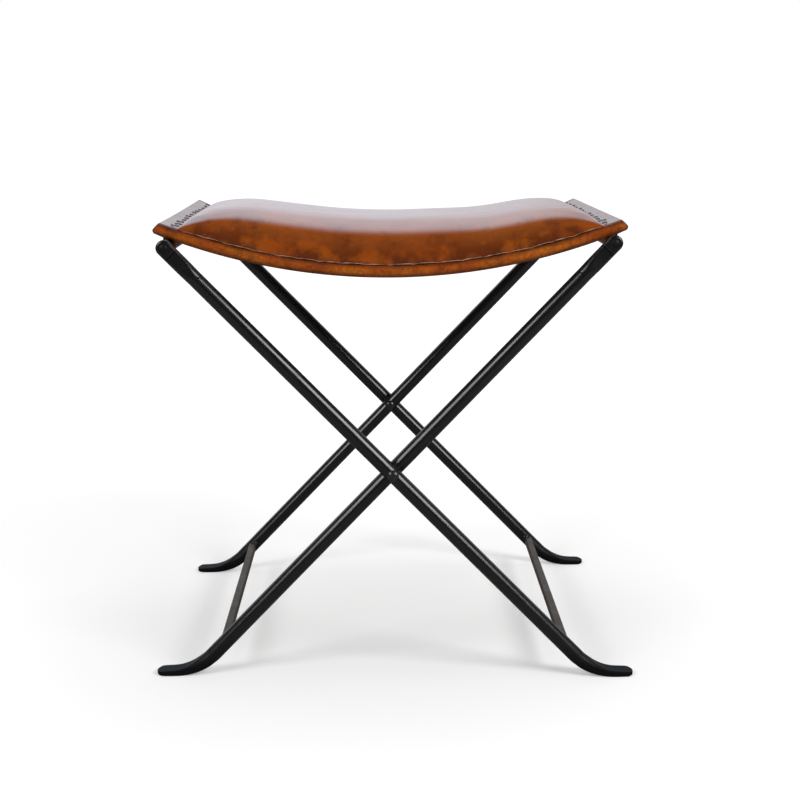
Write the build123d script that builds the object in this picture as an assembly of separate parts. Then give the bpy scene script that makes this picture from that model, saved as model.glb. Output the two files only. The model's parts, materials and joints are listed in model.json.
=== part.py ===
from build123d import *
from math import asin, atan2, cos, degrees, hypot, pi, radians, sin
import os

# Folding stool: two crossed iron frames carry a padded leather sling seat.
# Millimetres, +Z up, origin on the floor under the middle of the seat, -Y is the front.

# Frames, standing open
rail_height = 463.0          # floor to the centres of the seat rails
rail_span = 463.5            # between the centres of the two seat rails
pivot_height = 223.5         # floor to the crossing of the legs
outer_depth = 408.0          # between the centre planes of the outer legs
bar_diameter = 16.4          # round iron bar of the legs, painted

# Forged ends of the legs
paddle_width = 16.6          # flat eye that holds the rail
paddle_thickness = 9.0
paddle_neck = 11.0           # full-width stretch below the eye's centre
paddle_taper = 36.0          # from the flat back to the round bar
forged_corner = 2.6          # rounded edges of the eye
bend_radius = 64.0           # centre line of the bend above the foot
foot_width = 21.0            # flat tongue that stands on the floor
foot_thickness = 6.0         # at the end of the bend
tongue_length = 16.5
tip_thickness = 3.0
tip_lift = 0.8               # the tip stands a little off the floor
tip_nose = 9.0               # length of the rounded nose, seen from above
foot_corner = 1.2
sole_wear = 0.4              # depth of the flat worn into the sole

# Rails, stretchers and their fixings
rail_diameter = 10.0
rail_rivet_diameter = 5.0
rail_rivet_grip = 14.0       # length inside the rail
rail_rivet_head = 8.4
rail_rivet_dome = 1.4
stretcher_width = 8.0
stretcher_height = 10.0
stretcher_centre = 33.6      # height of the stretcher's centre above the floor
stretcher_edge = 0.8

# Pivots at the crossing
pivot_diameter = 6.0
pivot_head = 12.5
pivot_dome = 3.0
washer_diameter = 18.0
washer_thickness = 1.0
pivot_clearance = 0.05       # around the rivets and beside the washers
head_clearance = 0.10        # between the inner head and the leg that turns under it

# Seat
seat_dip = 34.8              # the seat's underside at mid-span, below the rail centres
seat_side_clearance = 1.5    # beside the inner legs, so that the folded seat hangs between them
base_leather = 2.0           # underside panel
band_height = 11.0           # rolled binding on the front and back edges
band_depth = 12.5
band_bulge = 4.0             # how far the roll stands out at its middle
cover_leather = 2.0
cover_inset = 3.5            # from the edge of the seat to the foot of the pad
crown_height = 44.0          # pad above the binding at the centre
crown_power = 4.0            # squareness of the pad's outline
crown_round = 0.5            # roundness of its fall to the seams
end_flap = 24.3              # flat leather between the pad and the end of the seat
end_overhang = 20.6          # seat beyond the rail's centre
end_nose = 6.0               # upper edge of the rounded end of flap and binding
end_toe = 4.0                # lower edge of the same end
sleeve_leather = 1.9
sleeve_tail = 24.0           # stitched tail of the loop, inboard of the rail
sleeve_clearance = 0.08      # running fit of the loop on its rail
layer_gap = 0.05             # between leather layers
pad_gap = 0.15               # under the rim of the pad
pad_root = 3.0               # the pad's form below its floor, trimmed off
fold_gap = 0.15              # half of the gap at the fold line
edge_find = 0.5              # how near an end edge's middle lies to the corner it rounds

# Worked out from the sizes above
bar_radius = bar_diameter / 2
half_span = rail_span / 2
outer_plane = outer_depth / 2
inner_plane = outer_plane - bar_diameter - washer_thickness
lean = atan2(rail_height - pivot_height, half_span)
seat_half_depth = inner_plane - bar_radius - seat_side_clearance
sleeve_radius = rail_diameter / 2 + sleeve_clearance + sleeve_leather
rail_drop = sleeve_radius + layer_gap
seat_radius = (half_span**2 + seat_dip**2 - rail_drop**2) / (2 * (seat_dip + rail_drop))
seat_centre = rail_height - seat_dip + seat_radius
slab_height = base_leather + band_height
rail_turn = asin(half_span / (seat_radius + rail_drop))
end_turn = rail_turn + end_overhang / seat_radius
pad_turn = end_turn - end_flap / seat_radius
seat_axis = Axis((0, 0, seat_centre), (0, -1, 0))

nodes = {}


# Legs

def ring(plane, corners, middles):
    # Closed outline of eight curves: each runs from one corner to the next through the middle between them.
    edges = []
    for k in range(8):
        start, end = Vector(*corners[k]), Vector(*corners[(k + 1) % 8])
        middle = Vector(*middles[k])
        bulge = (middle - (start + end) * 0.5).length
        if bulge < 1e-6:
            edges.append(Edge.make_line(start, end))
        else:
            edges.append(Edge.make_three_point_arc(start, middle, end))
    return Wire([plane.from_local_coords(edge) for edge in edges])


def round_ring(plane, radius):
    # Circle in eight arcs, matched to the eight sides of flat_ring.
    angles = [-20, 20, 50, 130, 160, 200, 230, 310]
    turns = [radians(angle) for angle in angles + [340]]
    corners = [(radius * cos(turn), radius * sin(turn)) for turn in turns[:8]]
    halves = [(a + b) / 2 for a, b in zip(turns, turns[1:])]
    middles = [(radius * cos(turn), radius * sin(turn)) for turn in halves]
    return ring(plane, corners, middles)


def flat_ring(plane, width, thickness, corner):
    # Rounded rectangle: four straight sides and four corner arcs.
    a, b = width / 2, thickness / 2
    c, d = a - corner, b - corner
    r = corner * cos(pi / 4)
    corners = [(a, -d), (a, d), (c, b), (-c, b), (-a, d), (-a, -d), (-c, -b), (c, -b)]
    middles = [(a, 0), (c + r, d + r), (0, b), (-c - r, d + r),
               (-a, 0), (-c - r, -d - r), (0, -b), (c + r, -d - r)]
    return ring(plane, corners, middles)


def forged_ring(plane, share, width, thickness, corner):
    # Section between the round bar (share 0) and a forged flat (share 1), easing in and out.
    eased = share**2 * (3 - 2 * share)
    wide = bar_diameter + (width - bar_diameter) * eased
    thick = bar_diameter + (thickness - bar_diameter) * eased
    rounding = corner + (thick / 2 - corner) * (1 - eased)
    return flat_ring(plane, wide, thick, rounding)


def make_leg():
    # One leg in the plane y = 0, from its eye at the upper left to its foot at the lower right.
    down = Vector(cos(lean), 0, -sin(lean))
    across = Vector(sin(lean), 0, cos(lean))
    eye = Vector(-half_span, 0, rail_height)
    neck_end = eye + down * paddle_neck
    taper_end = neck_end + down * paddle_taper
    forging = (0.25, 0.5, 0.75, 1)

    eye_plane = Plane(eye, x_dir=across, z_dir=(0, -1, 0))
    outline = Circle(paddle_width / 2)
    toward_neck = eye_plane.to_local_coords(neck_end)
    neck_angle = degrees(atan2(toward_neck.Y, toward_neck.X))
    strip = Rectangle(paddle_neck, paddle_width, align=(Align.MIN, Align.CENTER))
    outline += Rot(0, 0, neck_angle) * strip
    paddle = extrude(eye_plane * outline, paddle_thickness / 2, both=True)
    rim = [edge for edge in paddle.edges() if abs(abs(edge.center().Y) - paddle_thickness / 2) < 0.01]
    rim = [edge for edge in rim if (edge.center() - neck_end).length > paddle_width / 4]
    paddle = fillet(rim, forged_corner)

    def taper_plane(share):
        return Plane(taper_end - down * (paddle_taper * share), x_dir=across, z_dir=down)

    eye_flat = (paddle_width, paddle_thickness, forged_corner)
    taper = Solid.make_loft([
        round_ring(taper_plane(0), bar_radius),
        *[forged_ring(taper_plane(share), share, *eye_flat) for share in forging],
    ])

    foot_centre = foot_thickness / 2 - sole_wear
    bend_start_z = foot_centre + bend_radius * (1 - cos(lean))
    bend_start_x = (pivot_height - bend_start_z) * cos(lean) / sin(lean)
    bend_start = Vector(bend_start_x, 0, bend_start_z)
    bend_centre = bend_start + Vector(sin(lean), 0, cos(lean)) * bend_radius
    bar_length = (bend_start - taper_end).length
    bar = extrude(taper_plane(0) * Circle(bar_radius), bar_length)

    def bend_plane(share):
        turn = -lean * (1 - share)
        point = bend_centre + Vector(sin(turn), 0, -cos(turn)) * bend_radius
        return Plane(point, x_dir=(0, 1, 0), z_dir=(cos(turn), 0, sin(turn)))

    tip_x = bend_centre.X + tongue_length
    tip_point = Vector(tip_x, 0, tip_lift + tip_thickness / 2)
    tip_plane = Plane(tip_point, x_dir=(0, 1, 0), z_dir=(1, 0, 0))
    foot_flat = (foot_width, foot_thickness, foot_corner)
    foot = Solid.make_loft([
        round_ring(bend_plane(0), bar_radius),
        *[forged_ring(bend_plane(share), share, *foot_flat) for share in forging],
        flat_ring(tip_plane, foot_width, tip_thickness, foot_corner),
    ])
    sole = Pos((bend_start.X + tip_x - tip_nose) / 2) * Rectangle(
        tip_x - tip_nose - bend_start.X + bar_diameter * 2, foot_width * 1.5)
    sole -= Pos(tip_x) * Rectangle(tip_nose * 2, foot_width * 2)
    sole += Pos(tip_x - tip_nose) * Ellipse(tip_nose, foot_width / 2)
    foot &= extrude(sole, bend_start.Z + bar_diameter, both=True)

    leg = paddle + taper + bar + foot
    leg -= Pos(0, 0, -bar_diameter) * Box(rail_span * 2, foot_width * 2, bar_diameter * 2)
    pivot_hole = Cylinder(pivot_diameter / 2 + pivot_clearance, bar_diameter * 2)
    leg -= Pos(0, 0, pivot_height) * Rot(90, 0, 0) * pivot_hole
    rail_hole = Cylinder(rail_rivet_diameter / 2 + pivot_clearance, paddle_thickness * 2)
    leg -= Pos(-half_span, 0, rail_height) * Rot(90, 0, 0) * rail_hole
    return leg


leg = make_leg()
mirrored_leg = mirror(leg, Plane.YZ)
for end, sign in (("front", -1), ("back", 1)):
    nodes["outer_leg_" + end] = Pos(0, sign * outer_plane, 0) * leg
    nodes["inner_leg_" + end] = Pos(0, sign * inner_plane, 0) * mirrored_leg


# Rails, stretchers and rivets

def dome(radius, height, skirt):
    # Domed rivet head about Z: it stands on z = 0, with a plain skirt of the given depth below.
    ball = (radius**2 + height**2) / (2 * height)
    head = Pos(0, 0, height - ball) * Sphere(ball)
    head &= Cylinder(ball, height, align=(Align.CENTER, Align.CENTER, Align.MIN))
    if skirt:
        head += Cylinder(radius, skirt, align=(Align.CENTER, Align.CENTER, Align.MAX))
    return head


def along_depth(shape, sign, distance):
    # Turns a shape made about +Z to point out of the front (-1) or the back (+1), and moves it out.
    return Pos(0, sign * distance, 0) * Rot(-90 * sign, 0, 0) * shape


def make_rail(plane, side):
    length = 2 * (plane - paddle_thickness / 2)
    rail = Cylinder(rail_diameter / 2, length)
    bore = Cylinder(rail_rivet_diameter / 2 + pivot_clearance, rail_rivet_grip + pivot_clearance,
                    align=(Align.CENTER, Align.CENTER, Align.MAX))
    rail -= Pos(0, 0, length / 2) * bore
    rail -= Rot(180, 0, 0) * Pos(0, 0, length / 2) * bore
    return Pos(side * half_span, 0, rail_height) * Rot(90, 0, 0) * rail


def make_rail_rivets(plane, side):
    shank = Cylinder(rail_rivet_diameter / 2, paddle_thickness + rail_rivet_grip,
                     align=(Align.CENTER, Align.CENTER, Align.MAX))
    rivet = dome(rail_rivet_head / 2, rail_rivet_dome, 0) + shank
    pair = [along_depth(rivet, sign, plane + paddle_thickness / 2) for sign in (-1, 1)]
    return Compound([Pos(side * half_span, 0, rail_height) * item for item in pair])


def make_stretcher(plane, side, legs):
    section = fillet(Rectangle(stretcher_width, stretcher_height).vertices(), stretcher_edge)
    bar = extrude(Plane.XZ * section, plane, both=True)
    inset = (pivot_height - stretcher_centre) * cos(lean) / sin(lean)
    bar = Pos(side * inset, 0, stretcher_centre) * bar
    for item in legs:
        bar -= item
    return bar


for name, plane, side in (("outer", outer_plane, -1), ("inner", inner_plane, 1)):
    legs = [nodes[name + "_leg_front"], nodes[name + "_leg_back"]]
    nodes[name + "_rail"] = make_rail(plane, side)
    nodes[name + "_rail_rivets"] = make_rail_rivets(plane, side)
    nodes[name + "_stretcher"] = make_stretcher(plane, -side, legs)


def make_pivot_rivet(sign, outer_leg):
    # The outer head is saddled onto the round bar; the inner head is flat, so the inner leg turns under it.
    inner_face = inner_plane - bar_radius - head_clearance
    outer_face = outer_plane + bar_radius
    shank = Cylinder(pivot_diameter / 2, outer_face - inner_face,
                     align=(Align.CENTER, Align.CENTER, Align.MIN))
    tail = Rot(180, 0, 0) * dome(pivot_head / 2, pivot_dome, 0)
    head = Pos(0, 0, outer_face - inner_face) * dome(pivot_head / 2, pivot_dome, bar_radius / 2)
    head = Pos(0, 0, pivot_height) * along_depth(head, sign, inner_face)
    head = (head - outer_leg).solids().sort_by(Axis.Y)[0 if sign < 0 else -1]
    body = Pos(0, 0, pivot_height) * along_depth(shank + tail, sign, inner_face)
    return body + head


washers = []
for end, sign in (("front", -1), ("back", 1)):
    nodes["pivot_rivet_" + end] = make_pivot_rivet(sign, nodes["outer_leg_" + end])
    washer = Cylinder(washer_diameter / 2, washer_thickness - 2 * pivot_clearance)
    washer -= Cylinder(pivot_diameter / 2 + pivot_clearance, washer_thickness)
    middle = outer_plane - bar_radius - washer_thickness / 2
    washers.append(Pos(0, 0, pivot_height) * along_depth(washer, sign, middle))
nodes["pivot_washers"] = Compound(washers)


# Seat: right half, then mirrored. Heights are measured up from the curved underside.

def seat_point(turn, across, height):
    reach = seat_radius - height
    return Vector(reach * sin(turn), across, seat_centre - reach * cos(turn))


def curved_slab(profile, start, end):
    # Carries a sketch in (depth, height) along the seat's curve, between two turns in radians.
    plane = Plane(origin=(0, 0, seat_centre - seat_radius), x_dir=(0, 1, 0), z_dir=(1, 0, 0))
    face = plane * profile
    swung = face.rotate(seat_axis, degrees(start))
    return revolve(swung, axis=seat_axis, revolution_arc=degrees(end - start))


def layer(half_depth, low, high):
    return Pos(0, (low + high) / 2) * Rectangle(2 * half_depth, high - low)


def crown(share):
    # Height of the pad above the binding: 1 at the middle, 0 at the seam, and round toward the seam.
    return (1 - abs(share) ** crown_power) ** crown_round


def pad_section(turn, half_depth, rise, floor):
    # Closed outline across the pad: short arcs over the crown from seam to seam, and a root below the floor.
    def top(share):
        return seat_point(turn, share * half_depth, floor + rise * crown(share))
    shares = [1, 0.97, 0.91, 0.82, 0.7, 0.55, 0.38, 0.2]
    shares = shares + [0] + [-share for share in reversed(shares)]
    root = [seat_point(turn, side * half_depth, floor - pad_root) for side in (-1, 1)]
    outline = [Edge.make_line(top(-1), root[0]), Edge.make_line(*root), Edge.make_line(root[1], top(1))]
    for start, end in zip(shares, shares[1:]):
        outline.append(Edge.make_three_point_arc(top(start), top((start + end) / 2), top(end)))
    return Wire(outline)


def pad(skin):
    # Pad reduced all round by a skin thickness: lofted from seam to seam,
    # then kept right of the fold and above its floor.
    end = pad_turn - skin / seat_radius
    half_depth = seat_half_depth - cover_inset - skin
    floor = slab_height + pad_gap
    steps = [radians(angle) for angle in (0, 15, 30, 45, 60, 72, 82, 87)]
    steps = [-step for step in steps[:0:-1]] + steps
    sections = []
    for step in steps:
        turn = end * sin(step) / sin(steps[-1])
        rise = (crown_height - skin) * crown(sin(step))
        sections.append(pad_section(turn, half_depth, rise + pad_gap, floor - pad_gap))
    above = layer(seat_half_depth, floor, floor + 2 * crown_height)
    kept = curved_slab(above, fold_gap / seat_radius, end_turn)
    return Solid.make_loft(sections) & kept


def make_band():
    # Binding roll: flat where it lies on the layers, round on its outer face.
    edge = seat_half_depth - band_bulge
    inner = seat_half_depth - band_depth
    low, high = base_leather + layer_gap, slab_height
    with BuildSketch() as profile:
        with BuildLine():
            outer_face = ThreePointArc((edge, low), (seat_half_depth, (low + high) / 2), (edge, high))
            Polyline(outer_face @ 1, (inner, high), (inner, low), (edge, low))
        make_face()
    band = curved_slab(profile.sketch, fold_gap / seat_radius, end_turn)
    return round_end(band, low)


def round_end(shape, low):
    # Rounds the upper and lower edges of the seat's end; low is the height of its lower edge.
    for height, radius in ((slab_height, end_nose), (low, end_toe)):
        corner = seat_point(end_turn, 0, height)
        middles = [(edge, edge.center() - corner) for edge in shape.edges()]
        shape = fillet([edge for edge, away in middles if hypot(away.X, away.Z) < edge_find], radius)
    return shape


def make_sleeve():
    # End flap over the slab, wrapped round its end and looped under it about the rail.
    half = seat_half_depth - band_depth - layer_gap
    wrap_turn = end_turn - sleeve_leather / seat_radius
    flap_turn = pad_turn + layer_gap / seat_radius
    flap = curved_slab(layer(half, base_leather + layer_gap, slab_height), flap_turn, end_turn)
    wrap = curved_slab(layer(half, -sleeve_leather, base_leather + 2 * layer_gap), wrap_turn, end_turn)
    tail_turn = rail_turn - sleeve_tail / seat_radius
    tail = curved_slab(layer(half, -sleeve_leather, -layer_gap), tail_turn, end_turn)
    rail_place = Pos(half_span, 0, rail_height) * Rot(90, 0, 0)
    loop = rail_place * Cylinder(sleeve_radius, 2 * half)
    bore = rail_place * Cylinder(rail_diameter / 2 + sleeve_clearance, 4 * half)
    return round_end(flap + wrap + tail, -sleeve_leather) + loop - bore


def make_right_half():
    start = fold_gap / seat_radius
    wrap_turn = end_turn - (sleeve_leather + layer_gap) / seat_radius
    cover = pad(0) - pad(cover_leather)
    core_half = seat_half_depth - band_depth - layer_gap
    core = curved_slab(layer(core_half, base_leather + layer_gap, slab_height + pad_gap), start, pad_turn)
    foam = pad(cover_leather + layer_gap) + core
    base = curved_slab(layer(seat_half_depth - band_bulge / 2, 0, base_leather), start, wrap_turn)
    band = make_band()
    return {
        "seat_cover": cover,
        "seat_foam": foam,
        "seat_base_panel": base,
        "back_edge_band": band,
        "front_edge_band": mirror(band, Plane.XZ),
        "rail_sleeve": make_sleeve(),
    }


for name, shape in make_right_half().items():
    nodes[name + "_right"] = shape
    nodes[name + "_left"] = mirror(shape, Plane.YZ)

os.makedirs("parts", exist_ok=True)
for name, shape in nodes.items():
    export_step(shape, "parts/" + name + ".step")
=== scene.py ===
import bmesh
import bpy
import json
import math
import numpy as np
from mathutils import Matrix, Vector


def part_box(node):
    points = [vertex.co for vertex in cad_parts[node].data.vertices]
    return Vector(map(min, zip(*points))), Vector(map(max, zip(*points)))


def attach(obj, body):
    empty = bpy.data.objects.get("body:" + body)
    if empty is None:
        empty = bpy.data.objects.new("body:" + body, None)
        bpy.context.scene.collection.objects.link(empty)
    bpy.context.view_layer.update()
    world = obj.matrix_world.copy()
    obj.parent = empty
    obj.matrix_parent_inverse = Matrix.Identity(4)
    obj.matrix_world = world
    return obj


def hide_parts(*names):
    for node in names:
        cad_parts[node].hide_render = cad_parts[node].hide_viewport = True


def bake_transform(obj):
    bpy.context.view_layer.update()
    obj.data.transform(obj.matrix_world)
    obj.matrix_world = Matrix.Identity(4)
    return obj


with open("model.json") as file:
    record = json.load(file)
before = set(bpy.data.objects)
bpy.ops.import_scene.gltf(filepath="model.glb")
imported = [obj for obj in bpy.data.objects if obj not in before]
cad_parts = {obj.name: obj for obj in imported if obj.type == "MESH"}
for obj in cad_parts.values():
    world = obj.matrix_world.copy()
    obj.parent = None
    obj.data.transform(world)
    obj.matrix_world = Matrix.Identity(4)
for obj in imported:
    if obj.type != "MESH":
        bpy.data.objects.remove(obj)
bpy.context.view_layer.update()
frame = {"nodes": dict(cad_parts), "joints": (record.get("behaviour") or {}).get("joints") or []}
scene = bpy.context.scene
scene.view_settings.view_transform = "Standard"
joints = {joint["name"]: joint for joint in frame["joints"]}
print("frame loaded:", len(frame["nodes"]), "nodes")

# seat geometry, in metres: the sling hangs on an arc between the two rails
seat = {
    "dip": 0.0348,          # underside at mid-span, below the rail centres
    "railDrop": 0.00703,    # rail centre below the underside
    "slab": 0.013,          # top of the binding above the underside
    "overhang": 0.0206,     # seat beyond the rail centre
    "endFlap": 0.0243,      # flat leather between the pad and the end
    "stitchPitch": 0.025,   # hand stitches along every seam
    "stitchStray": (1.2, 30),   # their unevenness: amount and waves
    "sideSeed": 3,          # the same for the cover and the welts
    "endSeed": 4,           # the same for the cover and the sleeves
    "settleFrom": 0.78,     # share of the half length where the corners start to shift
    "backEase": 1.6,        # power of the shift from front to back
    "backRise": 0.0042,     # the back corners stand a little high
    "frontDrop": 0.0022,    # the front corners a little low
    "rightPull": 0.005,     # and the right back corner is drawn in
    "slantRun": 0.0038,     # the end slants outwards from its top corner
    "slantDrop": 0.0098,    # down to the furthest point
    "slantPower": 1.3,      # almost straight
    "toeRun": 0.0036,       # and rounds back under
    "bendReach": 0.07,      # a reach to each side of the fold line
}
seatHalf = -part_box("front_edge_band_left")[0].y   # middle to the outer face of the binding
railX = -joints["seat_swing"]["pos_m"][0]
railZ = joints["seat_swing"]["pos_m"][2]
seatRadius = (railX**2 + seat["dip"]**2 - seat["railDrop"]**2) / (2 * (seat["dip"] + seat["railDrop"]))
seatAxisZ = railZ - seat["dip"] + seatRadius
railTurn = math.asin(railX / (seatRadius + seat["railDrop"]))
endTurn = railTurn + seat["overhang"] / seatRadius
padTurn = endTurn - seat["endFlap"] / seatRadius
endRun, padRun = endTurn * seatRadius, padTurn * seatRadius   # the same along the underside


def settle(turn, across, height):
    # the soft ends sit unevenly: eased in toward both ends, from front to back, and fading at the underside
    end = np.clip((np.abs(turn) / endTurn - seat["settleFrom"]) / (1 - seat["settleFrom"]), 0, 1)
    share = end**2 * (3 - 2 * end) * np.clip(height / seat["slab"], 0, 1)
    back = np.clip((across / seatHalf + 1) / 2, 0, 1)**seat["backEase"]
    rise = share * (back * seat["backRise"] - (1 - back) * seat["frontDrop"])
    pull = share * back * np.where(turn > 0, seat["rightPull"], 0)
    return turn - pull / seatRadius, height + rise


def onArc(turn, reach):
    # a place in the seat's side view, by its turn about the seat's axis and its reach from it
    return np.stack([reach * np.sin(turn), seatAxisZ - reach * np.cos(turn)], axis=-1)


def onSeat(run, height):
    # a place in the side view, by the run along the underside and the height above it
    return onArc(run / seatRadius, seatRadius - height)


def seatPoint(turn, across, height):
    # swings about the seat's axis by turn, goes across by depth, and height is measured up from the curved underside
    turn, across, height = np.broadcast_arrays(turn, across, height)
    turn, height = settle(turn, across, height)
    reach = seatRadius - height
    return np.stack([reach * np.sin(turn), across, seatAxisZ - reach * np.cos(turn)], axis=-1)


def crown(share, power=4.0):
    # fullness of the pad: root of one minus a power, flat over the middle and round at the seam
    return np.sqrt(np.clip(1 - np.abs(share)**power, 0, 1))


def endTop(past, high):
    # top outline at the seat's end, by the distance past it: almost straight down to the furthest point
    share = np.clip(1 + past / seat["slantRun"], 0, 1)
    power = seat["slantPower"]
    return high - seat["slantDrop"] * (1 - (1 - share**power)**(1 / power))


def endToe(past, low, high):
    # lower outline at the seat's end: a quarter of an ellipse
    share = np.clip(1 + past / seat["toeRun"], 0, 1)
    return low + (high - seat["slantDrop"] - low) * (1 - np.sqrt(1 - share**2))


wave = {"count": 5, "lengths": (0.6, 2.6), "gain": 1.6}   # sines that make up an unevenness


def waver(values, seed):
    # smooth unevenness, mostly between -1 and 1: a sum of sines whose lengths and starts come from a seeded generator
    rng = np.random.default_rng(seed)
    lengths = rng.uniform(*wave["lengths"], wave["count"])
    starts = rng.uniform(0, 2 * np.pi, wave["count"])
    return np.sin(values[..., None] * lengths + starts).mean(axis=-1) * wave["gain"]


def uneven(run, amount, waves, seed):
    return amount * waver(run * waves, seed)


def stitchBeat(run, seed):
    # one at each stitch and zero halfway between: a cosine of the spacing whose phase strays
    phase = run * 2 * np.pi / seat["stitchPitch"] + uneven(run, *seat["stitchStray"], seed)
    return 0.5 + 0.5 * np.cos(phase)


# meshes
meshCare = {"merge": 1e-6, "sliver": 1e-7, "sharpAngle": 60, "tubeAngle": 70}


def gridQuads(rows, columns, closeAcross):
    # quads between neighbours of a rows-by-columns grid of points, closed across if asked
    index = np.arange(rows * columns).reshape(rows, columns)
    looped = np.concatenate([index, index[:, :1]], axis=1) if closeAcross else index
    corners = [looped[:-1, :-1], looped[1:, :-1], looped[1:, 1:], looped[:-1, 1:]]
    return np.stack(corners, axis=-1).reshape(-1, 4)


def finishMesh(name, mesh, sharpAngle):
    # merges doubles, turns the faces outwards and shades the piece smooth up to an angle
    work = bmesh.new()
    work.from_mesh(mesh)
    bmesh.ops.remove_doubles(work, verts=work.verts, dist=meshCare["merge"])
    bmesh.ops.dissolve_degenerate(work, edges=work.edges, dist=meshCare["sliver"])
    bmesh.ops.recalc_face_normals(work, faces=work.faces)
    work.to_mesh(mesh)
    work.free()
    mesh.polygons.foreach_set("use_smooth", np.ones(len(mesh.polygons), bool))
    mesh.set_sharp_from_angle(angle=math.radians(sharpAngle))
    piece = bpy.data.objects.new(name, mesh)
    scene.collection.objects.link(piece)
    return piece


def gridPiece(name, points, closed=True, sharpAngle=meshCare["sharpAngle"], marks=None):
    # one mesh from a grid of points: a tube capped at both ends, or an open sheet
    rows, columns = points.shape[:2]
    faces = gridQuads(rows, columns, closed).tolist()
    if closed:
        cap = np.arange(columns)
        faces += [cap.tolist(), (cap[::-1] + (rows - 1) * columns).tolist()]
    mesh = bpy.data.meshes.new(name)
    mesh.from_pydata(points.reshape(-1, 3), [], faces)
    for key, values in (marks or {}).items():
        mesh.attributes.new(key, "FLOAT", "POINT").data.foreach_set("value", values.astype(np.float32).ravel())
    return finishMesh(name, mesh, sharpAngle)


def tubesPiece(name, points, material, body):
    # many small tubes in one mesh: the same quads, repeated with an offset for each tube
    count, rows, columns = points.shape[:3]
    offsets = np.arange(count) * rows * columns
    faces = (gridQuads(rows, columns, True)[None] + offsets[:, None, None]).reshape(-1, 4)
    mesh = bpy.data.meshes.new(name)
    mesh.from_pydata(points.reshape(-1, 3), [], faces.tolist())
    piece = finishMesh(name, mesh, meshCare["tubeAngle"])
    dress(piece, material)
    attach(piece, body)
    return piece


def dress(piece, material):
    piece.data.materials.clear()
    piece.data.materials.append(material)


def bendWithSeat(piece):
    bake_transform(piece)


def circle(columns):
    return np.linspace(0, 2 * np.pi, columns, endpoint=False)


# node helpers for the materials
def newMaterial(name):
    material = bpy.data.materials.new(name)
    material.use_nodes = True
    tree = material.node_tree
    return material, tree, tree.nodes["Principled BSDF"]


def addNode(tree, kind, inputs=None, **settings):
    node = tree.nodes.new(kind)
    for key, value in settings.items():
        setattr(node, key, value)
    for key, value in (inputs or {}).items():
        if isinstance(value, bpy.types.NodeSocket):
            tree.links.new(value, node.inputs[key])
        else:
            node.inputs[key].default_value = value
    return node


def calc(tree, operation, *values):
    return addNode(tree, "ShaderNodeMath", dict(enumerate(values)), operation=operation).outputs[0]


def noiseField(tree, scale, detail, rough, stretch=(1, 1, 1)):
    # soft noise on the piece's own metres, stretched along an axis if asked
    coords = addNode(tree, "ShaderNodeTexCoord")
    mapping = addNode(tree, "ShaderNodeMapping", {"Vector": coords.outputs["Object"], "Scale": stretch})
    noise = addNode(tree, "ShaderNodeTexNoise", {"Vector": mapping.outputs[0], "Scale": scale, "Detail": detail,
                                                 "Roughness": rough})
    return noise.outputs["Fac"]


def remap(tree, value, low, high, newLow, newHigh, kind="LINEAR"):
    node = addNode(tree, "ShaderNodeMapRange", {"Value": value, "From Min": low, "From Max": high,
                                                "To Min": newLow, "To Max": newHigh}, interpolation_type=kind)
    return node.outputs[0]


def fieldRange(tree, field, newLow, newHigh):
    # a noise and the range of it that counts, spread over a new range
    noise, span = field
    return remap(tree, noiseField(tree, *noise), *span, newLow, newHigh)


def mixColor(tree, factor, first, second):
    return addNode(tree, "ShaderNodeMix", {0: factor, 6: first, 7: second}, data_type="RGBA").outputs[2]


def bumpChain(tree, shader, fields):
    # each field is a height and its depth in metres, one bump after the other
    normal = None
    for height, depth in fields:
        bump = addNode(tree, "ShaderNodeBump", {"Height": height, "Distance": depth, "Strength": 1.0})
        if normal:
            tree.links.new(normal, bump.inputs["Normal"])
        normal = bump.outputs[0]
    tree.links.new(normal, shader.inputs["Normal"])


# black painted iron
ironLook = {
    "colour": (0.0032, 0.0032, 0.0036, 1),
    "worn": (0.02, 0.02, 0.021, 1),
    "wear": 0.55,           # most of the worn shade in a fleck
    "rough": (0.25, 0.32),
    "shine": 0.42,
    "tint": (1, 0.985, 0.98, 1),
    "scuffed": (0.008, 0.045),    # dull at the first height, clear at the second
    "scuffRough": 0.3,      # added at the floor
    "scuffShine": 0.15,     # share of the shine left there
    "flecks": ((420, 3, 0.6), (0.66, 0.8)),   # noise scale, detail and roughness, and the range that counts
    "patches": ((38, 5, 0.6), (0.3, 0.7)),
    "forged": ((55, 3, 0.5), 0.00003),        # noise and depth
    "grain": ((900, 2, 0.5), 0.0000015),
}
# the stretchers are the same black iron as the legs; their lighter, warmer base colour is painted reflection of the
# bright sweep their tops catch, and their real shine is turned down
stretcherLook = dict(ironLook, colour=(0.045, 0.033, 0.022, 1), rough=(0.36, 0.5), shine=0.15,
                     tint=(1, 0.88, 0.78, 1))
rivetLook = dict(ironLook, rough=(0.45, 0.6), shine=0.15)
pivotLook = dict(ironLook, colour=(0.008, 0.008, 0.0088, 1), worn=(0.12, 0.115, 0.11, 1), rough=(0.22, 0.4))


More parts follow.
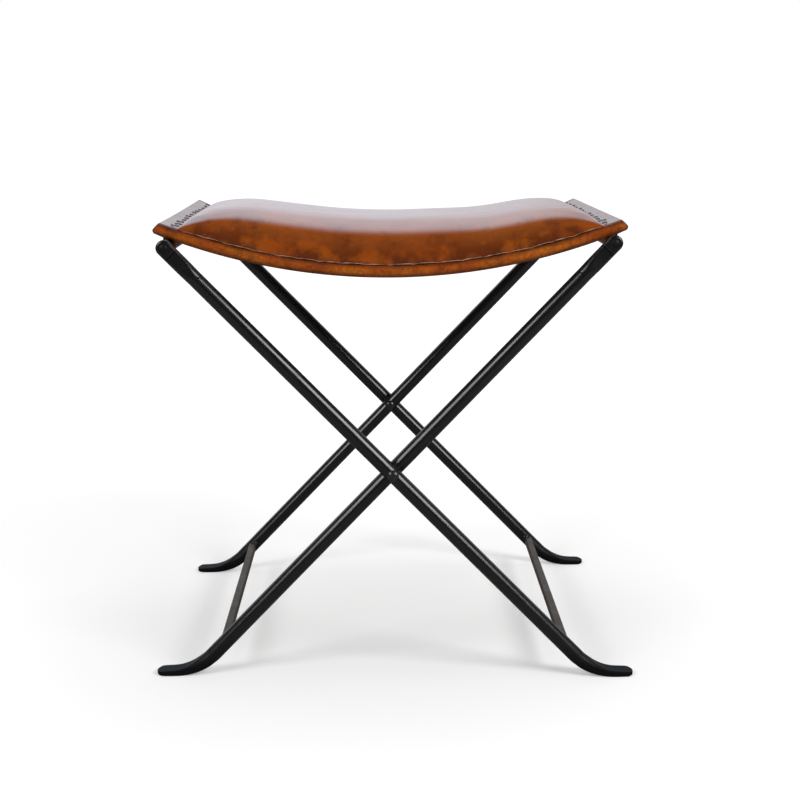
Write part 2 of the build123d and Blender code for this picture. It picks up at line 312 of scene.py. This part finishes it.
def ironMaterial(name, look):
    # flecks of wear, patchy gloss and a forged surface, scuffed dull toward the floor
    material, tree, shader = newMaterial(name)
    wear = fieldRange(tree, look["flecks"], 0, look["wear"])
    tree.links.new(mixColor(tree, wear, look["colour"], look["worn"]), shader.inputs["Base Color"])
    coords = addNode(tree, "ShaderNodeTexCoord")
    height = addNode(tree, "ShaderNodeSeparateXYZ", {0: coords.outputs["Object"]}).outputs["Z"]
    scuff = remap(tree, height, *look["scuffed"], look["scuffRough"], 0.0)
    rough = calc(tree, "ADD", fieldRange(tree, look["patches"], *look["rough"]), scuff)
    tree.links.new(rough, shader.inputs["Roughness"])
    shine = remap(tree, height, *look["scuffed"], look["shine"] * look["scuffShine"], look["shine"])
    tree.links.new(shine, shader.inputs["Specular IOR Level"])
    shader.inputs["Specular Tint"].default_value = look["tint"]
    bumpChain(tree, shader, [(noiseField(tree, *noise), depth) for noise, depth in (look["forged"], look["grain"])])
    return material


blackIron = ironMaterial("blackIron", ironLook)
pivotIron = ironMaterial("pivotIron", pivotLook)
rivetIron = ironMaterial("rivetIron", rivetLook)
stretcherIron = ironMaterial("stretcherIron", stretcherLook)
ironFinish = {"pivot": pivotIron, "rivet": rivetIron, "stretcher": stretcherIron}   # the first that fits a node's name
ironNodes = [name for name in frame["nodes"] if name.split("_")[0] in ("outer", "inner", "pivot")]
for name in ironNodes:
    frame["nodes"][name].data.materials.clear()
    frame["nodes"][name].data.materials.append(
        next((iron for key, iron in ironFinish.items() if key in name), blackIron))
print("iron finished:", len(ironNodes), "nodes")

# weld beads where the stretchers meet the legs
bead = {
    "rows": 9, "columns": 14,
    "size": (0.0046, 0.0036, 0.0036),
    "toward": 0.003,        # off the stretcher's middle, toward the middle of the stool
    "inset": 0.0015,        # from the stretcher's ends
}


def makeBeads(body, stretcher):
    # a squashed ball on the upper side of each end of a stretcher
    low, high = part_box(stretcher)
    polar, around = np.linspace(0, np.pi, bead["rows"])[:, None], circle(bead["columns"])[None, :]
    ball = np.stack([np.sin(polar) * np.cos(around), np.sin(polar) * np.sin(around), np.cos(polar) + 0 * around],
                    axis=-1)
    middle = (low.x + high.x) / 2
    middle = middle - math.copysign(bead["toward"], middle)
    places = np.array([(middle, y, high.z) for y in (low.y + bead["inset"], high.y - bead["inset"])])
    points = places[:, None, None, :] + ball[None] * np.array(bead["size"])
    return tubesPiece(stretcher.replace("_stretcher", "Beads"), points, pivotIron, body)


beads = [makeBeads("outer_frame", "outer_stretcher"), makeBeads("inner_frame", "inner_stretcher")]
print("weld beads:", 2 * len(beads))

# leather
leatherField = {            # noise scale, detail, roughness and stretch, and the range of it that counts
    "clouds": ((17, 5, 0.62), (0.41, 0.61)),
    "flecks": ((330, 3, 0.6), (0.4, 0.72)),
    "smudges": ((46, 4, 0.6, (1, 0.6, 1)), (0.5, 0.70)),
    # this noise breaks up the painted shade beside the seams
    "seamShadeNoise": ((34, 3, 0.6), (0.40, 0.58)),
    "wear": ((70, 4, 0.6), (0.3, 0.7)),
    "creases": (240, 3, 0.6),
    "creaseDepth": 1.5,     # times the grain's depth
    "pebbles": 900.0,
    "topClean": (0.35, 0.6, 0.3, 1),   # the sat-on top has fewer smudges than the sides
}
leatherLook = {
    "mid": (0.224, 0.045, 0.0024, 1),
    "deep": (0.075, 0.015, 0.003, 1),
    "warm": (0.285, 0.071, 0.005, 1),
    "rough": (0.155, 0.175),
    "shine": 0.5,
    "fleck": 0.2,
    "smudge": 0.8,
    "seamShadeShare": 0.2,           # least share of the painted seam shade
    "grain": 0.000001,
}
bandLook = dict(leatherLook, mid=(0.212, 0.037, 0.0008, 1), deep=(0.030, 0.005, 0.001, 1),
                warm=(0.305, 0.074, 0.002, 1), rough=(0.40, 0.52), shine=0.14, fleck=0.5, smudge=0.65, seamShadeShare=0.6,
                grain=0.00003)
flapLook = dict(leatherLook, mid=(0.150, 0.045, 0.012, 1), warm=(0.19, 0.06, 0.014, 1), rough=(0.18, 0.26),
                grain=0.000002)
baseLook = dict(leatherLook, mid=(0.150, 0.055, 0.020, 1), deep=(0.085, 0.030, 0.012, 1),
                warm=(0.21, 0.09, 0.035, 1), rough=(0.55, 0.75), shine=0.2, grain=0.00012)


def leatherMaterial(name, look, seamMark=None, sideMark=None):
    # waxed leather: three browns in clouds and smudges, painted shade beside the seams broken up by noise, pebbled
    # grain and fine creases
    material, tree, shader = newMaterial(name)
    colour = mixColor(tree, fieldRange(tree, leatherField["clouds"], 0, 1), look["mid"], look["warm"])
    colour = mixColor(tree, fieldRange(tree, leatherField["flecks"], 0, look["fleck"]), colour, look["deep"])
    smudged = fieldRange(tree, leatherField["smudges"], 0, look["smudge"])
    if sideMark:
        side = addNode(tree, "ShaderNodeAttribute", attribute_name=sideMark)
        smudged = calc(tree, "MULTIPLY", smudged, remap(tree, side.outputs["Fac"], *leatherField["topClean"]))
    colour = mixColor(tree, smudged, colour, look["deep"])
    # painted shade beside the seams: the seam mark, broken up by noise, mixes in the deep brown
    if seamMark:
        seam = addNode(tree, "ShaderNodeAttribute", attribute_name=seamMark)
        seamShadeShare = fieldRange(tree, leatherField["seamShadeNoise"], look["seamShadeShare"], 1)
        colour = mixColor(tree, calc(tree, "MULTIPLY", seam.outputs["Fac"], seamShadeShare), colour, look["deep"])
    tree.links.new(colour, shader.inputs["Base Color"])
    tree.links.new(fieldRange(tree, leatherField["wear"], *look["rough"]), shader.inputs["Roughness"])
    shader.inputs["Specular IOR Level"].default_value = look["shine"]
    coords = addNode(tree, "ShaderNodeTexCoord")
    pebbles = addNode(tree, "ShaderNodeTexVoronoi",
                      {"Vector": coords.outputs["Object"], "Scale": leatherField["pebbles"]}, feature="SMOOTH_F1")
    creases = noiseField(tree, *leatherField["creases"])
    bumpChain(tree, shader, [(creases, look["grain"] * leatherField["creaseDepth"]),
                             (pebbles.outputs["Distance"], look["grain"])])
    return material


padLeather = leatherMaterial("padLeather", leatherLook, "seamShade", "sideShade")
bandLeather = leatherMaterial("bandLeather", bandLook, "seamShade")
flapLeather = leatherMaterial("flapLeather", flapLook, "seamShade")
baseLeather = leatherMaterial("baseLeather", baseLook)

# thread, and the cut edge of the welt, its light shade partly painted highlight
threadLook = {
    "light": (0.030, 0.022, 0.020, 1),
    "dark": (0.010, 0.007, 0.006, 1),
    "twist": (1400, 2, 0.5),      # noise scale, detail and roughness
    "twistSpan": (0.35, 0.65),
    "depth": 0.0002,
    "rough": 0.6,
}
# the welt's light colour and its light dashes along the twist are painted highlight along the seam's edge, over the
# edge's own tone
weltHighlightLook = dict(threadLook, light=(0.31, 0.175, 0.125, 1), dark=(0.09, 0.034, 0.018, 1), twist=(160, 2, 0.5))


def threadMaterial(name, look):
    # two shades along the twist
    material, tree, shader = newMaterial(name)
    twist = noiseField(tree, *look["twist"])
    shade = remap(tree, twist, *look["twistSpan"], 0, 1)
    tree.links.new(mixColor(tree, shade, look["light"], look["dark"]), shader.inputs["Base Color"])
    shader.inputs["Roughness"].default_value = look["rough"]
    bumpChain(tree, shader, [(twist, look["depth"])])
    return material


darkThread = threadMaterial("darkThread", threadLook)
weltEdgeAndHighlight = threadMaterial("weltEdgeAndHighlight", weltHighlightLook)

# padded cover over both halves
pad = {
    "rows": 181, "columns": 161, "underColumns": 17,
    "inset": 0.0035,        # from the binding's face to the front and back seams
    "crown": 0.0414,        # above the binding at the centre
    "endPower": 3.6,        # fall of the pad toward its ends
    "frontPower": 3.5,      # steeper along the front
    "cornerFall": (0.15, 0.3),   # and lower at the front and back corners
    "dents": ((0.52, 0.24, -0.0043), (-0.76, 0.13, 0.0012)),   # place along the seat, width, height
    "gap": 0.0001,          # underside above the binding's top
    "lift": 0.0002,         # and the edge of the top
    "rim": 0.0012,          # turned edge at the seam
    "rimLeast": 0.35,       # share of it left at the ends
    "seamPucker": (0.0011, 0.008),   # dips at the front and back stitches: depth and reach
    "endPucker": (0.0014, 0.014),    # gathers at the end stitches
    "sway": 0.00012,        # broad unevenness of the stuffing
    "swayWaves": ((40, 18, 11), (-15, 44, 12)),   # waves along and across, and seed
    "sideShade": 0.020,     # reach of the painted shade at the side seams
    "endShade": (0.9, 0.006),    # amount and reach of the painted shade at the end seams
    "cleanReach": 0.05,     # from the side seams to the cleaner top
}


def makePadCover():
    # height above the binding is the crown along the seat times the crown across it, less the gathers at the stitches
    along = np.sin(np.linspace(-1, 1, pad["rows"]) * np.pi / 2)
    across = np.sin(np.linspace(-1, 1, pad["columns"]) * np.pi / 2)
    s, v = np.meshgrid(along, across, indexing="ij")
    half = seatHalf - pad["inset"]
    run, depth = s * padRun, v * half
    sideGap, endGap = (1 - np.abs(v)) * half, (1 - np.abs(s)) * padRun
    frontFall, backFall = pad["cornerFall"]
    endFall = crown(s, pad["endPower"] + pad["frontPower"] * np.clip(-v, 0, 1)**4)
    rise = pad["crown"] * endFall * crown(v) * (1 - np.where(v < 0, frontFall, backFall) * (s * v)**4)
    for place, width, amount in pad["dents"]:
        rise = rise + amount * np.exp(-((s - place) / width)**2) * crown(v)
    sway = sum(waver(run * onward + depth * sideways, seed) for onward, sideways, seed in pad["swayWaves"])
    rise = rise + pad["sway"] * crown(s) * crown(v) * sway
    dip, reach = pad["seamPucker"]
    rise = rise - dip * stitchBeat(run, seat["sideSeed"]) * np.exp(-sideGap / reach) * crown(s)
    dip, reach = pad["endPucker"]
    rise = rise - dip * stitchBeat(depth, seat["endSeed"]) * np.exp(-endGap / reach) * crown(v)
    top = seat["slab"] + pad["lift"] + pad["rim"] * np.maximum(crown(s), pad["rimLeast"]) + np.maximum(rise, 0)
    upper = seatPoint(s * padTurn, depth, top)
    under = np.linspace(1, -1, pad["underColumns"]) * half
    lower = seatPoint(s[:, :1] * padTurn, under[None, :], seat["slab"] + pad["gap"])
    # painted shade beside the side and end seams, and over the hidden underside
    endDark, endReach = pad["endShade"]
    shade = np.maximum(np.exp(-sideGap / pad["sideShade"]), endDark * np.exp(-endGap / endReach))
    lowShade = np.ones(lower.shape[:2])
    sideShade = np.exp(-sideGap / pad["cleanReach"])
    piece = gridPiece("padCover", np.concatenate([upper, lower], axis=1), sharpAngle=70,
                      marks={"seamShade": np.concatenate([shade, lowShade], axis=1),
                             "sideShade": np.concatenate([sideShade, lowShade], axis=1)})
    dress(piece, padLeather)
    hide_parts("seat_cover_left", "seat_cover_right", "seat_foam_left", "seat_foam_right")
    bendWithSeat(piece)
    return piece


padCover = makePadCover()
print("pad cover:", len(padCover.data.polygons), "faces")

# rolled binding along the front and back edges
band = {
    "rows": 241, "columns": 48,
    "crowd": 1.8,           # rows stand closer toward the ends
    "low": 0.0021,          # inner part lies on the underside panel
    "lip": -0.0009,         # outer part covers the panel's edge
    "depth": 0.0125,
    "bulge": 0.0072,        # how far the roll stands out
    "insidePower": 0.3,     # near square
    "outsidePower": 0.9,    # near round
    "thinnest": 0.00002,    # at the very ends
    "lumps": (0.05, 95),    # amount and waves
    "seeds": {"front": 21, "back": 22},
    "rimShade": (0.25, 0.68, 0.95),   # painted shade on the roll's upper and lower rims: start, width and amount
    "endShade": 0.0028,     # reach of the painted shade at the ends
}


def makeBand(end, sign):
    # a D-shaped loop carried along the seat: half ellipse outside, near square inside; it closes to a slanted end
    spread = np.linspace(-1, 1, band["rows"])
    run = endRun * np.sign(spread) * (1 - (1 - np.abs(spread))**band["crowd"])
    past = np.abs(run) - endRun
    angle = circle(band["columns"])
    c, z = np.cos(angle), np.sin(angle)
    inside = c < -1e-9
    low = np.where(inside, band["low"], band["lip"])[None, :]
    top = endTop(past, seat["slab"])[:, None]
    bottom = np.minimum(endToe(past[:, None], low, seat["slab"]), top - band["thinnest"])
    middle, half = (top + bottom) / 2, (top - bottom) / 2
    edge, inner = seatHalf - band["bulge"], seatHalf - band["depth"]
    outward = np.where(inside, (edge - inner) * -np.abs(c)**band["insidePower"],
                       band["bulge"] * np.abs(c)**band["outsidePower"])
    upward = np.where(inside, np.sign(z) * np.abs(z)**band["insidePower"], z)
    nose = np.sqrt(half / half.max())
    lumps = 1 + uneven(run, *band["lumps"], band["seeds"][end])
    depth = np.clip(edge + outward[None, :] * nose * lumps[:, None], inner, seatHalf)
    height = middle + half * upward[None, :]
    points = seatPoint((run / seatRadius)[:, None], sign * depth, height)
    # painted shade: darker on the roll's upper and lower faces by their slope, near the slanted ends, and all over the
    # hidden inside
    rimStart, rimWidth, rimDark = band["rimShade"]
    rim = rimDark * np.clip((np.abs(upward) - rimStart) / rimWidth, 0, 1)[None, :]
    closing = np.exp(past / band["endShade"])[:, None]
    shade = np.where(inside[None, :], 1.0, np.maximum(rim, closing))
    piece = gridPiece(end + "Band", points, marks={"seamShade": shade})
    dress(piece, bandLeather)
    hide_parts(end + "_edge_band_left", end + "_edge_band_right")
    bendWithSeat(piece)
    return piece


bands = [makeBand("front", -1), makeBand("back", 1)]
print("bindings:", len(bands))

# thin welt where the cover meets the binding, pinched at each stitch
welt = {
    "rows": 401, "columns": 10,
    "radius": 0.00045,
    "inset": 0.0027,        # from the binding's face
    "lift": 0.0005,         # above the binding
    "short": 0.002,         # ends before the pad does
    "ends": (1.02, 40),     # how the ends close
    "pinch": (0.0007, 0.0004, 6),   # down, inwards, and the power that keeps it short
    "swell": (0.25, 160, 31),       # unevenness: amount, waves and seed
    "rise": (0.0003, 70, 32),
    "stray": (0.0003, 85, 33),
}


def makeWelt(end, sign):
    # a small circle carried along the seam; it sinks and swells with the stitches
    share = np.linspace(-1, 1, welt["rows"])
    run = share * (padRun - welt["short"])
    angle = circle(welt["columns"])
    down, inwards, power = welt["pinch"]
    pinch = stitchBeat(run, seat["sideSeed"])**power
    full, endPower = welt["ends"]
    closing = np.sqrt(np.clip(full - share**endPower, 0, 1))
    radius = welt["radius"] * (1 + uneven(run, *welt["swell"])) * closing
    centreHeight = seat["slab"] + welt["lift"] - down * pinch + uneven(run, *welt["rise"])
    centreDepth = seatHalf - welt["inset"] + uneven(run, *welt["stray"]) - inwards * pinch
    depth = sign * (centreDepth[:, None] + radius[:, None] * np.cos(angle))
    height = centreHeight[:, None] + radius[:, None] * np.sin(angle)
    points = seatPoint((run / seatRadius)[:, None], depth, height)
    piece = gridPiece(end + "Welt", points, sharpAngle=50)
    dress(piece, weltEdgeAndHighlight)
    bendWithSeat(piece)
    return piece


welts = [makeWelt("front", -1), makeWelt("back", 1)]
print("welts:", len(welts))

# underside panel
base = {
    "rows": 121, "columns": 25, "edgeColumns": 7,
    "thick": 0.002,
    "trim": 0.0075,         # ends before the seat does
    "gap": 0.0002,          # to the roll of the binding
}


def makeBasePanel():
    # a flat sheet with a rounded edge, carried along the seat's arc
    halfRun = endRun - base["trim"]
    halfDepth = seatHalf - band["bulge"] - base["gap"]
    edge = base["thick"] / 2
    run = np.linspace(-halfRun, halfRun, base["rows"])
    flat = np.linspace(-1, 1, base["columns"]) * (halfDepth - edge)
    turnOver = np.linspace(-np.pi / 2, np.pi / 2, base["edgeColumns"])[1:-1]
    edgeDepth = halfDepth - edge + edge * np.cos(turnOver)
    edgeHeight = edge * (1 + np.sin(turnOver))
    depth = np.concatenate([flat, edgeDepth, flat[::-1], -edgeDepth[::-1]])
    height = np.concatenate([flat * 0, edgeHeight, flat * 0 + base["thick"], edgeHeight[::-1]])
    points = seatPoint((run / seatRadius)[:, None], depth[None, :], height[None, :])
    piece = gridPiece("basePanel", points)
    dress(piece, baseLeather)
    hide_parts("seat_base_panel_left", "seat_base_panel_right")
    bendWithSeat(piece)
    return piece


basePanel = makeBasePanel()
print("base panel:", len(basePanel.data.polygons), "faces")

# end sleeves: one strap of leather over the end of the seat and round the rail
sleeve = {
    "rows": 121, "columns": 150,
    "flapPoints": 12, "cornerPoints": 9, "loopPoints": 24, "tailPoints": 8,   # before the line is smoothed
    "cuts": 2,              # rounds of smoothing
    "thick": 0.0016,
    "inset": 0.0126,        # from the binding's face to the strap's side
    "gap": 0.00005,         # under the seat
    "tuck": 0.003,          # under the pad's edge
    "running": 0.0054,      # inside of the loop: the rail's radius with its clearance
    "loop": (62, -242),     # turn of the loop round the rail, in degrees
    "tail": (0.0065, 0.024),      # stitched back under the seat, from and to, inboard of the rail
    "gather": 0.0006,       # puckers that run out from the stitches
    "gatherAt": (0.004, 0.005),   # middle and reach along the strap
    "ripple": (0.12, 130, 41),    # share of the puckers, waves and seed
    "rippleReach": 0.02,
    "shadeAt": (0.003, 0.004),    # painted shade at the stitches: middle and reach
    "shade": (0.35, 0.65),  # all along the seam, and more in the pucker at each stitch
}


def smoothLine(points, rounds):
    # corner cutting: every round puts two points on each run, a quarter in from its ends
    for _ in range(rounds):
        first, second = points[:-1], points[1:]
        cut = np.stack([0.75 * first + 0.25 * second, 0.25 * first + 0.75 * second], axis=1).reshape(-1, 2)
        points = np.concatenate([points[:1], cut, points[-1:]])
    return points


def evenLine(points, count):
    # the same line with evenly spaced points, and how far along each one is
    steps = np.concatenate([[0], np.cumsum(np.linalg.norm(np.diff(points, axis=0), axis=1))])
    at = np.linspace(0, steps[-1], count)
    return np.stack([np.interp(at, steps, points[:, k]) for k in range(2)], axis=-1), at


def sleeveLine():
    # the strap's middle line in the side view: flap, slanted end, toe, loop round the rail and tail
    half = sleeve["thick"] / 2
    high, low = seat["slab"], -half - sleeve["gap"]
    flap = onSeat(np.linspace(padRun - sleeve["tuck"], endRun - seat["slantRun"], sleeve["flapPoints"]), high - half)
    back = np.cos(np.linspace(0, np.pi / 2, sleeve["cornerPoints"]))[1:]
    past = back * seat["slantRun"]
    slant = onSeat(endRun - half * (1 - back) - past, endTop(-past, high) - half * back)
    back = back[::-1]
    past = back * seat["toeRun"]
    toe = onSeat(endRun - half * (1 - back) - past, endToe(-past, low, high))
    angles = np.linspace(*np.radians(sleeve["loop"]), sleeve["loopPoints"]) + railTurn
    loop = np.array([railX, railZ]) + (sleeve["running"] + half) * np.stack([np.cos(angles), np.sin(angles)], axis=-1)
    tail = onSeat(railTurn * seatRadius - np.linspace(*sleeve["tail"], sleeve["tailPoints"]), low)
    return evenLine(smoothLine(np.concatenate([flap, slant, toe, loop, tail]), sleeve["cuts"]), sleeve["columns"])


def makeSleeve(side, sign):
    # the middle line thickened to both sides and carried across, with puckers on the outside at the stitches
    line, at = sleeveLine()
    half = sleeve["thick"] / 2
    ahead = np.gradient(line, axis=0)
    ahead /= np.linalg.norm(ahead, axis=1, keepdims=True)
    outward = np.stack([-ahead[:, 1], ahead[:, 0]], axis=-1)
    depth = np.linspace(-1, 1, sleeve["rows"]) * (seatHalf - sleeve["inset"])
    beat = stitchBeat(depth, seat["endSeed"])[:, None]
    middle, reach = sleeve["gatherAt"]
    gather = beat * np.exp(-np.abs(at - middle) / reach)
    ripple = uneven(depth, *sleeve["ripple"])[:, None] * np.exp(-at / sleeve["rippleReach"])
    dip = sleeve["gather"] * (gather + ripple)
    outer = line[None] + outward[None] * (half - dip[..., None])
    inner = np.broadcast_to((line - outward * half)[None, ::-1], outer.shape)
    section = np.concatenate([outer, inner], axis=1)
    spread = np.broadcast_to(depth[:, None], section.shape[:2])
    fromAxis = np.hypot(section[..., 0], section[..., 1] - seatAxisZ)
    turn = sign * np.arcsin(np.clip(section[..., 0] / fromAxis, -1, 1))
    points = seatPoint(turn, spread, seatRadius - fromAxis)
    # painted shade on the outside along the pad's seam, deepest in the puckers at the stitches
    middle, reach = sleeve["shadeAt"]
    always, atStitch = sleeve["shade"]
    shade = np.exp(-np.abs(at - middle) / reach)[None, :] * (always + atStitch * beat)
    piece = gridPiece(side + "Sleeve", points,
                      marks={"seamShade": np.concatenate([shade, np.zeros(shade.shape)], axis=1)})
    dress(piece, flapLeather)
    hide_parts("rail_sleeve_" + side)
    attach(piece, "seat_" + side)
    return piece


sleeves = [makeSleeve("left", -1), makeSleeve("right", 1)]
print("sleeves:", len(sleeves))

# dark hand stitches over the end seams
stitch = {
    "count": 13, "columns": 8, "rows": 13,
    "radius": 0.00055,
    "length": 0.009,
    "lengthSpread": (0.8, 1.2),
    "slant": 0.9,           # sideways for each length outwards
    "slantSpread": (0.6, 1.4),
    "stray": 0.0012,        # along the seam
    "start": 0.001,         # beyond the pad's edge
    "lift": 0.0002,         # above the flap
    "climb": 0.0012,        # onto the pad
    "arch": 0.0007,
    "endPower": 8,          # how the ends close
    "seeds": {"left": 51, "right": 52},
}


def makeEndStitches(side, sign):
    # each stitch is a small circle carried over a low arch, slanting out from the seam across the flap
    rng = np.random.default_rng(stitch["seeds"][side])
    count = stitch["count"]
    places = (np.arange(count) - (count - 1) / 2) * seat["stitchPitch"] + rng.normal(0, stitch["stray"], count)
    share = np.linspace(-1, 1, stitch["rows"])
    angle = circle(stitch["columns"])
    length = stitch["length"] * rng.uniform(*stitch["lengthSpread"], count)
    slant = stitch["slant"] * rng.uniform(*stitch["slantSpread"], count)
    run = padRun + stitch["start"] + length[:, None] / 2 * (share + 1)
    depth = places[:, None] + length[:, None] / 2 * share * slant[:, None]
    over = stitch["climb"] * np.clip(-share, 0, 1) + stitch["arch"] * (1 - share**2)
    height = seat["slab"] + stitch["lift"] + over[None, :]
    ring = stitch["radius"] * np.sqrt(np.clip(1 - share**stitch["endPower"], 0, 1))
    depth = depth[:, :, None] + ring[None, :, None] * np.cos(angle)
    height = height[:, :, None] + ring[None, :, None] * np.sin(angle)
    points = seatPoint(sign * (run / seatRadius)[:, :, None], depth, height)
    return tubesPiece(side + "EndStitches", points, darkThread, "seat_" + side)


endStitches = [makeEndStitches("left", -1), makeEndStitches("right", 1)]
print("end stitches:", len(endStitches) * stitch["count"])

# floor
floorLook = {
    "size": 60.0,
    "below": 0.0004,        # under the feet
    "albedo": 0.80,         # as it lights the stool
    "seen": 0.62,           # as the camera sees it
    "mirrored": 0.25,       # as reflections see it
    "mottle": ((3, 2, 0.5), (0.3, 0.7)),
    "mottleColour": (0.5, 0.5, 0.52, 1),
    "mottleMost": 0.06,
    "rough": 0.9,
    "drop": 0.755,          # what the lift to white lacks at its centre
    "fade": 0.75,           # how soon it comes with the square of the distance
    "centre": (0, -0.25, 0),
}


def makeFloor():
    # a flat sheet under the stool; where the camera sees it, it is lifted to white, by the square of the distance
    # from a point in front of the stool
    reach = np.linspace(-0.5, 0.5, 3) * floorLook["size"]
    x, y = np.meshgrid(reach, reach, indexing="ij")
    piece = gridPiece("studioFloor", np.stack([x, y, x * 0 - floorLook["below"]], axis=-1), closed=False)
    material, tree, shader = newMaterial("studioFloor")
    path = addNode(tree, "ShaderNodeLightPath")
    camera = path.outputs["Is Camera Ray"]
    grey = {key: (floorLook[key],) * 3 + (1,) for key in ("albedo", "seen", "mirrored")}
    pale = mixColor(tree, path.outputs["Is Glossy Ray"], grey["albedo"], grey["mirrored"])
    pale = mixColor(tree, camera, pale, grey["seen"])
    mottle = fieldRange(tree, floorLook["mottle"], 0, floorLook["mottleMost"])
    tree.links.new(mixColor(tree, mottle, pale, floorLook["mottleColour"]), shader.inputs["Base Color"])
    shader.inputs["Roughness"].default_value = floorLook["rough"]
    shader.inputs["Specular IOR Level"].default_value = 0.0
    coords = addNode(tree, "ShaderNodeTexCoord")
    away = addNode(tree, "ShaderNodeVectorMath", {0: coords.outputs["Object"], 1: floorLook["centre"]},
                   operation="SUBTRACT").outputs[0]
    square = addNode(tree, "ShaderNodeVectorMath", {0: away, 1: away}, operation="DOT_PRODUCT").outputs["Value"]
    spread = calc(tree, "MULTIPLY_ADD", square, floorLook["fade"], 1.0)
    lift = calc(tree, "SUBTRACT", 1.0, calc(tree, "DIVIDE", floorLook["drop"], spread))
    shader.inputs["Emission Color"].default_value = (1, 1, 1, 1)
    tree.links.new(calc(tree, "MULTIPLY", camera, lift), shader.inputs["Emission Strength"])
    piece.data.materials.append(material)


# surroundings, by the direction of a ray
studioLook = {
    "room": 0.06,           # light from all round
    "sweep": 0.85,          # light from the sweep behind the stool
    "sweepTop": (0.60, 0.86),     # it ends between these heights
    "sweepFront": (0.30, 0.55),   # and starts between these depths
    "dark": (0.03, 0.03, 0.03, 1),      # the room in reflections
    "horizon": (0.88, 0.97, 1.08, 1),   # the sweep in reflections, low down
    "upper": (1.58, 1.98, 2.36, 1),     # and higher up
    "risen": (0.3, 0.7),
    "aside": (0.03, 0.16, 1.0, 0.74),   # dimmer to the right
}


def makeWorld():
    # white where the camera looks; for other rays a bright sweep low behind the stool and a dimmer room elsewhere,
    # with more contrast in reflections
    world = bpy.data.worlds.new("studio")
    world.use_nodes = True
    tree = world.node_tree
    background = tree.nodes["Background"]
    coords = addNode(tree, "ShaderNodeTexCoord")
    x, y, z = addNode(tree, "ShaderNodeSeparateXYZ", {0: coords.outputs["Generated"]}).outputs
    ceiling = remap(tree, z, *studioLook["sweepTop"], 1.0, 0.0, "SMOOTHSTEP")
    behind = remap(tree, y, *studioLook["sweepFront"], 0.0, 1.0, "SMOOTHSTEP")
    sweep = calc(tree, "MULTIPLY", ceiling, behind)
    studio = remap(tree, sweep, 0, 1, studioLook["room"], studioLook["sweep"])
    risen = remap(tree, z, *studioLook["risen"], 0, 1)
    backdrop = mixColor(tree, risen, studioLook["horizon"], studioLook["upper"])
    dimmed = calc(tree, "MULTIPLY", sweep, remap(tree, x, *studioLook["aside"]))
    mirrored = mixColor(tree, dimmed, studioLook["dark"], backdrop)
    path = addNode(tree, "ShaderNodeLightPath")
    reflected = mixColor(tree, path.outputs["Is Glossy Ray"], studio, mirrored)
    seen = mixColor(tree, path.outputs["Is Camera Ray"], reflected, (1, 1, 1, 1))
    tree.links.new(seen, background.inputs["Color"])
    background.inputs["Strength"].default_value = 1.0
    scene.world = world


def facing(place, sideways, upward, back):
    # a lamp's or camera's placing from its three axes
    return Matrix.Translation(place) @ Matrix(np.stack([sideways, upward, back], axis=-1).tolist()).to_4x4()


# lamps: two fills, and two boxes that make the streaks on the legs
lamps = {
    "topFill": {"place": (0.0, 0.1, 2.2), "aim": (0, 0, 0.3), "size": 2.0, "power": 14, "glossy": False},
    "frontFill": {"place": (-0.3, -2.6, 1.0), "aim": (0, 0, 0.35), "size": 1.6, "power": 8, "glossy": False},
    "rightBox": {"place": (1.57, -1.36, 1.45), "aim": (0, 0, 0.25), "size": 1.0, "power": 44, "glossy": True},
    "leftBox": {"place": (-1.57, -1.36, 1.45), "aim": (0, 0, 0.25), "size": 1.0, "power": 30, "glossy": True},
}


def makeSoftLight(name, place, aim, size, power, glossy):
    # a round soft box; a fill lights without a mirror image of itself
    data = bpy.data.lights.new(name, "AREA")
    data.shape, data.size, data.energy = "DISK", size, power
    lamp = bpy.data.objects.new(name, data)
    back = np.array(place, float) - np.array(aim, float)
    back /= np.linalg.norm(back)
    sideways = np.cross((0, 0, 1), back)
    sideways /= np.linalg.norm(sideways)
    lamp.matrix_world = facing(place, sideways, np.cross(back, sideways), back)
    lamp.visible_glossy = glossy
    scene.collection.objects.link(lamp)


# camera, fitted to the photo: metres, millimetres and degrees
cameraSet = {
    "place": (-0.0123, -1.7281, 0.5943),
    "lens": 67.07, "sensor": 36,
    "yaw": 0.762, "pitch": 10.813, "roll": -0.384,
    "far": 100,
}


def makeCamera():
    # looks along yaw and pitch, then rolls about its own line of sight
    yaw, pitch, roll = (math.radians(cameraSet[key]) for key in ("yaw", "pitch", "roll"))
    ahead = np.array([math.sin(yaw) * math.cos(pitch), math.cos(yaw) * math.cos(pitch), -math.sin(pitch)])
    right = np.array([math.cos(yaw), -math.sin(yaw), 0])
    up = np.cross(right, ahead)
    data = bpy.data.cameras.new("photoCamera")
    data.lens, data.sensor_width, data.sensor_fit = cameraSet["lens"], cameraSet["sensor"], "HORIZONTAL"
    data.clip_end = cameraSet["far"]
    camera = bpy.data.objects.new("photoCamera", data)
    camera.matrix_world = facing(cameraSet["place"], right * math.cos(roll) + up * math.sin(roll),
                                 up * math.cos(roll) - right * math.sin(roll), -ahead)
    scene.collection.objects.link(camera)
    scene.camera = camera


makeFloor()
makeWorld()
for name, lamp in lamps.items():
    makeSoftLight(name, **lamp)
makeCamera()
print("studio ready")
